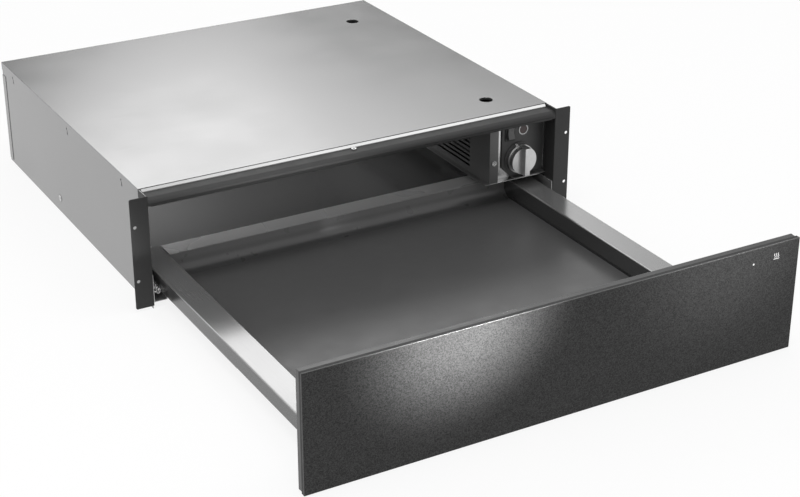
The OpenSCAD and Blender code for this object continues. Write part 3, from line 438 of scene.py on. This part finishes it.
def speckled_front(name):
    """Near-black front sheet with fine pale flakes under a satin finish, and a painted highlight along its
    outline.
    """
    shader = Shader(name, Metallic=0.55)
    cells = shader.add("ShaderNodeTexVoronoi")
    cells.feature = "F1"
    cells.inputs["Scale"].default_value = 1000.0
    shader.link(shader.coords, cells.inputs["Vector"])
    split = shader.add("ShaderNodeSeparateColor")
    shader.link(cells.outputs["Color"], split.inputs["Color"])
    flakes = shader.ramp(split.outputs["Red"], grey(0.13), grey(0.24), 0.1, 0.95)
    # Painted highlight: a paler line along the sheet's outline
    both = shader.add("ShaderNodeMix")
    both.data_type = "RGBA"
    shader.link(shader.near_rim(panel_low, panel_high, HIGHLIGHT_RIM_WIDTH), both.inputs["Factor"])
    shader.link(flakes, both.inputs["A"])
    both.inputs["B"].default_value = (*grey(HIGHLIGHT_RIM_TONE), 1)
    shader.colour(both.outputs["Result"])
    shader.rough(shader.spread(split.outputs["Green"], 0.5, 0.66))
    shader.bump(split.outputs["Blue"], 0.010 * MM, 0.5)
    return shader.mat


# Height above which the drawer's side channels are painted lighter, as painted light on their lit top ledges,
# and their tone there
LEDGE_PAINTED_LIGHT = (36.4 * MM, 0.60)
# Heights between which the tray's wall is painted lighter upward, as painted light, and its tone at the upper
# one
TRAY_WALL_PAINTED_LIGHT = (14.6 * MM, 31 * MM, 0.48)
# Width of the paler line round the front sheet, a painted highlight on its edge, and its tone
HIGHLIGHT_RIM_WIDTH = 0.5 * MM
HIGHLIGHT_RIM_TONE = 0.36

MATERIALS = {
    "casing_steel": sheet_steel("casing_steel", 0.55, 0.009, 0.17, metallic=0.8),
    "inner_steel": sheet_steel("inner_steel", 0.38, 0.012, 0.32, metallic=0.3),
    "anthracite_paint": coated_metal("anthracite_paint", 0.20, 0.52, gloss=0.3),
    "bright_zinc": plated("bright_zinc", 0.78, 0.22),
    "fascia_plastic": moulded("fascia_plastic", 0.27, 0.42),
    "knob_silver": plated("knob_silver", 0.79, 0.38),
    "shaft_steel": plated("shaft_steel", 0.75, 0.2),
    "rocker_plastic": moulded("rocker_plastic", 0.38, 0.3),
    "switch_plastic": moulded("switch_plastic", 0.14, 0.4),
    "lamp_ring": plated("lamp_ring", 0.62, 0.3),
    "lamp_red": moulded("lamp_red", 0.3, 0.12, (0.055, 0.030, 0.030)),
    "thermostat": moulded("thermostat", 0.75, 0.5, (0.50, 0.42, 0.28)),
    "fan_sheet": plated("fan_sheet", 0.74, 0.35),
    "motor": coated_metal("motor", 0.42, 0.5),
    "element": plated("element", 0.42, 0.45),
    "terminal": moulded("terminal", 0.9, 0.45),
    "gland": moulded("gland", 0.13, 0.45),
    "wire_sleeve": moulded("wire_sleeve", 0.86, 0.55),
    "rail_steel": sheet_steel("rail_steel", 0.78, 0.02, 0.24, (1400, 30, 1400), 0.7),
    "ball_steel": plated("ball_steel", 0.88, 0.08),
    "drawer_steel": sheet_steel("drawer_steel", 0.38, 0.012, 0.20, (1400, 30, 1400), 0.68, LEDGE_PAINTED_LIGHT),
    "tray_steel": coated_metal("tray_steel", 0.29, 0.30, painted_light_rise=TRAY_WALL_PAINTED_LIGHT),
    "mat_rubber": coated_metal("mat_rubber", 0.29, 0.34),
    "ledge_steel": sheet_steel("ledge_steel", 0.68, 0.012, 0.28, metallic=0.3),
    "front_dark": speckled_front("front_dark"),
    "frame_paint": coated_metal("frame_paint", 0.16, 0.30, gloss=0.6),
    "seal": moulded("seal", 0.10, 0.6),
    "light_pipe": moulded("light_pipe", 0.88, 0.2),
    "latch_plastic": moulded("latch_plastic", 0.16, 0.45),
    "plunger_plastic": moulded("plunger_plastic", 0.88, 0.4),
}


SLOTS = {part["node"]: part["material_slot"] for part in frame["record"]["subparts"]}


def dress_nodes():
    """Gives each node of the frame the material of its slot."""
    for name, slot in SLOTS.items():
        mesh = frame["nodes"][name].data
        mesh.materials.clear()
        mesh.materials.append(MATERIALS[slot])


# Rounded folds and edges

# Radius of the outer folds of each sheet or moulding, in mm
FOLD_RADII = {
    "top_cover": 0.55, "side_panel_left": 0.6, "side_panel_right": 0.6, "rear_panel": 0.8, "base_pan": 0.8,
    "flange_left": 0.7, "flange_right": 0.7, "front_rail": 0.5, "front_panel": 0.7, "panel_frame": 0.6,
    "side_channel_left": 0.9, "side_channel_right": 0.9, "rear_ledge": 0.5, "tray": 0.3, "louvre_wall": 0.4,
    "compartment_floor": 0.3, "control_bracket": 0.3, "control_panel": 0.8, "temperature_knob": 0.5,
    "rocker": 0.5, "lamp_bezel": 0.3, "lamp_lens": 0.3, "slide_fixed_left": 0.3, "slide_fixed_right": 0.3,
    "slide_middle_left": 0.3, "slide_middle_right": 0.3, "slide_inner_left": 0.3, "slide_inner_right": 0.3,
    "cable_gland": 0.4, "latch_body": 0.4, "latch_plunger": 0.3, "terminal_block": 0.4, "rail_screw": 0.15,
    "side_screws": 0.2, "wall_screw": 0.2,
}
# Pieces that are brighter than the sheet around them
FINISHES = {"compartment_floor": "bright_zinc"}
CREASE = math.radians(33)


def has_room(face, edge, radius):
    """True if the face is wide enough beside the edge to round it; near the edge's ends less will do."""
    start = edge.verts[0].co
    along = (edge.verts[1].co - start).normalized()
    length = edge.calc_length()
    far = 0
    for vert in face.verts:
        if vert in edge.verts:
            continue
        offset = vert.co - start
        place = offset.dot(along)
        away = (offset - along * place).length
        end = place < 2 * radius or place > length - 2 * radius
        if -radius < place < length + radius and away < (1.05 if end else 2.2) * radius:
            return False
        far = max(far, away)
    return far > 2.2 * radius


def is_fold(edge, radius):
    """True for an outer corner between two faces that are both wide enough to be rounded."""
    if len(edge.link_faces) != 2 or not edge.is_convex:
        return False
    if edge.calc_face_angle(0) < CREASE or edge.calc_length() < 2 * radius:
        return False
    return all(has_room(face, edge, radius) for face in edge.link_faces)


def add_rounded(node, radius, segments=3):
    """Stands a copy with rounded folds in place of a node."""
    source = frame["nodes"][node]
    bm = bmesh.new()
    bm.from_mesh(source.data)
    bmesh.ops.remove_doubles(bm, verts=bm.verts, dist=0.002 * MM)
    bmesh.ops.dissolve_limit(bm, angle_limit=math.radians(0.5), verts=bm.verts, edges=bm.edges)
    folds = [edge for edge in bm.edges if is_fold(edge, radius)]
    bmesh.ops.bevel(bm, geom=folds, offset=radius, segments=segments, profile=0.5, affect="EDGES",
                    clamp_overlap=False)
    bmesh.ops.triangulate(bm, faces=[face for face in bm.faces if len(face.verts) > 4])
    for face in bm.faces:
        face.smooth = True
    for edge in bm.edges:
        edge.smooth = edge.calc_face_angle(math.pi) < CREASE
    mesh = bpy.data.meshes.new(node + "_rounded")
    bm.to_mesh(mesh)
    bm.free()
    piece = bpy.data.objects.new(node + "_rounded", mesh)
    bpy.context.scene.collection.objects.link(piece)
    normals = piece.modifiers.new("normals", "WEIGHTED_NORMAL")
    normals.keep_sharp = True
    slot = FINISHES.get(node, SLOTS[node])
    mesh.materials.append(MATERIALS[slot])
    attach(piece, source["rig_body"])
    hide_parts(node)
    return piece


# Folded strips

# Section of the cover's sloping front hem: forward of the cover's front, down from its top, mm
HEM_SECTION = ((0.1, 0.7), (0.5, 0.75), (3.3, 3.2), (3.6, 3.7), (3.6, 3.9), (0.1, 3.9))
# Lip under the front rail: behind the rail's front, down from its foot, mm
LIP_SECTION = ((0.9, 0), (0.9, 1.1), (1.3, 1.5), (6.4, 1.5), (6.8, 1.1), (6.8, 0))
# Depth of the black seal ring, and how far it stands out over the frame's outer faces as painted shade
BEAD_DEPTH = 3.6 * MM
BEAD_RISE = 0.7 * MM
# Rolled rear edge of the front's frame; closed, it stays clear of the cabinet flanges
RETURN_DEPTH = 2.4 * MM
RETURN_WIDTH = 8 * MM


def add_piece(name, bm, slot, body, finishes=None):
    """Turns mesh code into a piece that rides on a body and has a slot's finish, or finishes of its own."""
    bmesh.ops.recalc_face_normals(bm, faces=bm.faces)
    mesh = bpy.data.meshes.new(name)
    bm.to_mesh(mesh)
    bm.free()
    piece = bpy.data.objects.new(name, mesh)
    bpy.context.scene.collection.objects.link(piece)
    for finish in finishes or (MATERIALS[slot],):
        mesh.materials.append(finish)
    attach(piece, body)
    return piece


def add_moulding(name, section, half, slot, softness=0.12):
    """Strip across the casing with a closed section of points (y, z) and softened edges."""
    bm = bmesh.new()
    rows = [[bm.verts.new((x, y, z)) for y, z in section] for x in (-half, half)]
    for index in range(len(section)):
        after = (index + 1) % len(section)
        bm.faces.new((rows[0][index], rows[0][after], rows[1][after], rows[1][index]))
    bm.faces.new(rows[0])
    bm.faces.new(rows[1])
    bmesh.ops.bevel(bm, geom=bm.edges[:], offset=softness * MM, segments=2, profile=0.5, affect="EDGES")
    return add_piece(name, bm, slot, "casing")


def add_cover_hem():
    """Sloping bright fold where the cover meets the front rail."""
    section = [(casing_low.y - forward * MM, casing_high.z - down * MM) for forward, down in HEM_SECTION]
    add_moulding("cover_hem", section, casing_high.x - 3.2 * MM, "casing_steel")


def add_rail_lip():
    """Turned lip along the foot of the front rail."""
    low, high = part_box("front_rail")
    section = [(low.y + behind * MM, low.z - down * MM) for behind, down in LIP_SECTION]
    add_moulding("rail_lip", section, high.x - 4 * MM, "anthracite_paint")


def add_side_corner_plate(side, name):
    """Thin anthracite plate on the side panel's outer face, in front of the cover's edge, from just under the
    flange's top down 12 mm.
    """
    flange_low, flange_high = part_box("flange_" + name)
    outside = casing_high.x
    bm = bmesh.new()
    bmesh.ops.create_cube(bm, size=1)
    size = Vector((0.6 * MM, casing_low.y - flange_low.y - 2.6 * MM, 12 * MM))
    middle = Vector((side * (outside - size.x / 2), casing_low.y - 0.4 * MM - size.y / 2,
                     flange_high.z - 0.3 * MM - size.z / 2))
    bmesh.ops.transform(bm, matrix=Matrix.Translation(middle) @ Matrix.Diagonal((*size, 1)), verts=bm.verts)
    bmesh.ops.bevel(bm, geom=bm.edges[:], offset=0.15 * MM, segments=2, profile=0.5, affect="EDGES")
    add_piece("side_corner_plate_" + name, bm, "anthracite_paint", "casing")


def add_frame_ring(name, section, slot):
    """Closed ring round the front's frame, with a section of points (y, distance in from the outline)."""
    low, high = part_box("panel_frame")
    bm = bmesh.new()
    rows = []
    for y, inset in section:
        corners = ((low.x + inset, low.z + inset), (high.x - inset, low.z + inset),
                   (high.x - inset, high.z - inset), (low.x + inset, high.z - inset))
        rows.append([bm.verts.new((x, y, z)) for x, z in corners])
    for index in range(len(rows)):
        after = (index + 1) % len(rows)
        for corner in range(4):
            turn = (corner + 1) % 4
            bm.faces.new((rows[index][corner], rows[index][turn], rows[after][turn], rows[after][corner]))
    add_piece(name, bm, slot, "drawer")


def add_seal_and_shade_bead():
    """Black seal in the gap between the front sheet and its frame, standing out over the frame's outer faces:
    partly a real seal, partly painted shade in the gap and on those faces.
    """
    front = panel_high.y + 0.05 * MM
    back = front + BEAD_DEPTH
    section = ((front, 0.5 * MM), (front, -BEAD_RISE), (back, -BEAD_RISE), (back, 0.5 * MM))
    add_frame_ring("seal_and_shade_bead", section, "seal")


def add_frame_return():
    """Rolled edge round the back of the front's frame."""
    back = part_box("panel_frame")[1].y
    root = back - 0.5 * MM
    edge = back + RETURN_DEPTH
    section = ((root, 0), (edge - 0.8 * MM, 0), (edge - 0.25 * MM, 0.2 * MM), (edge, 0.8 * MM),
               (edge, RETURN_WIDTH), (root, RETURN_WIDTH))
    add_frame_ring("frame_return", section, "frame_paint")


# Ball tracks at the front of the slides

# Section of a rolled lip beside the moving slide: distance from the casing's middle, height, mm
TRACK_SECTION = (
    (271.4, 24.6), (270.9, 25.6), (269.9, 25.8), (269.1, 25.0), (268.9, 23.6), (268.7, 20.4), (267.9, 18.2),
    (266.6, 17.3), (265.2, 17.7), (264.3, 19.2), (263.7, 21.0),
)
TRACK_THICKNESS = 0.7
# Rows of balls in the lip: distance from the casing's middle, height, mm
BALL_PLACES = ((269.9, 19.7), (265.9, 21.3))
BALL_COUNT = 3
BALL_PITCH = 4.5
BALL_RADIUS = 1.2


def add_track(side, name):
    """Rolled lip that guides the balls of a fixed slide, from the slide's front to its rear end."""
    low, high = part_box("slide_fixed_" + name)
    bm = bmesh.new()
    rows = []
    for y in (low.y + 0.4 * MM, high.y - 0.4 * MM):
        rows.append([bm.verts.new((side * x * MM, y, z * MM)) for x, z in TRACK_SECTION])
    for index in range(len(TRACK_SECTION) - 1):
        bm.faces.new((rows[0][index], rows[0][index + 1], rows[1][index + 1], rows[1][index]))
    for face in bm.faces:
        face.smooth = True
    # The lip's faces take the darker drawer steel as painted shade, and its cut edges take bright zinc,
    # partly bare cut metal and partly a painted highlight
    finishes = (MATERIALS["drawer_steel"], MATERIALS["bright_zinc"])
    track = add_piece("slide_track_" + name, bm, "rail_steel", "casing", finishes)
    wall = track.modifiers.new("wall", "SOLIDIFY")
    wall.thickness = TRACK_THICKNESS * MM
    wall.offset = 0
    wall.material_offset_rim = 1


def add_balls(side, name):
    """Steel balls at the front of a fixed slide's lip, which run back in it with the rear cage."""
    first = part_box("slide_fixed_" + name)[0].y + 2 * MM
    bm = bmesh.new()
    for x, z in BALL_PLACES:
        for step in range(BALL_COUNT):
            place = Matrix.Translation((side * x * MM, first + step * BALL_PITCH * MM, z * MM))
            bmesh.ops.create_uvsphere(bm, u_segments=20, v_segments=12, radius=BALL_RADIUS * MM, matrix=place)
    for face in bm.faces:
        face.smooth = True
    add_piece("track_balls_" + name, bm, "ball_steel", "rear_cage_" + name)


# Symbol on the front

# Middle of the symbol's bar on the front, and how far the symbol stands out
SYMBOL_X = 266.7 * MM
SYMBOL_Z = 115.8 * MM
SYMBOL_DEPTH = 0.04 * MM
WAVE_STEPS = 16


def stroke(bm, points, width, depth):
    """Flat bar of a width along points (x, z) on the front face, standing out by a depth."""
    rows = []
    for index, (x, z) in enumerate(points):
        back = points[max(index - 1, 0)]
        ahead = points[min(index + 1, len(points) - 1)]
        along = Vector((ahead[0] - back[0], ahead[1] - back[1])).normalized()
        side = Vector((-along.y, along.x)) * width / 2
        y = panel_low.y
        rows.append([bm.verts.new((x + side.x, y, z + side.y)), bm.verts.new((x - side.x, y, z - side.y)),
                     bm.verts.new((x - side.x, y - depth, z - side.y)),
                     bm.verts.new((x + side.x, y - depth, z + side.y))])
    for first, second in zip(rows, rows[1:]):
        for corner in range(4):
            after = (corner + 1) % 4
            bm.faces.new((first[corner], first[after], second[after], second[corner]))
    bm.faces.new(rows[0])
    bm.faces.new(rows[-1])


def add_heat_symbol():
    """Generic sign for warmth: three rising waves over a bar."""
    bm = bmesh.new()
    for column in (-2.5, 0, 2.5):
        wave = []
        for step in range(WAVE_STEPS + 1):
            share = step / WAVE_STEPS
            aside = column + 0.6 * math.sin(share * 2 * math.pi)
            wave.append((SYMBOL_X + aside * MM, SYMBOL_Z + (1.3 + 5.2 * share) * MM))
        stroke(bm, wave, 0.75 * MM, SYMBOL_DEPTH)
    bar = [(SYMBOL_X - 3.9 * MM, SYMBOL_Z), (SYMBOL_X + 3.9 * MM, SYMBOL_Z)]
    stroke(bm, bar, 0.8 * MM, SYMBOL_DEPTH)
    add_piece("heat_symbol", bm, "light_pipe", "drawer", (moulded("symbol_ink", 0.86, 0.4),))


# Assembly

bpy.context.scene.view_settings.view_transform = "Standard"
add_camera()
add_studio()
dress_nodes()
for fold_node, fold_radius in FOLD_RADII.items():
    add_rounded(fold_node, fold_radius * MM)
add_heat_symbol()
add_cover_hem()
add_rail_lip()
add_seal_and_shade_bead()
add_frame_return()
for track_side, track_name in ((-1, "left"), (1, "right")):
    add_track(track_side, track_name)
    add_balls(track_side, track_name)
    add_side_corner_plate(track_side, track_name)
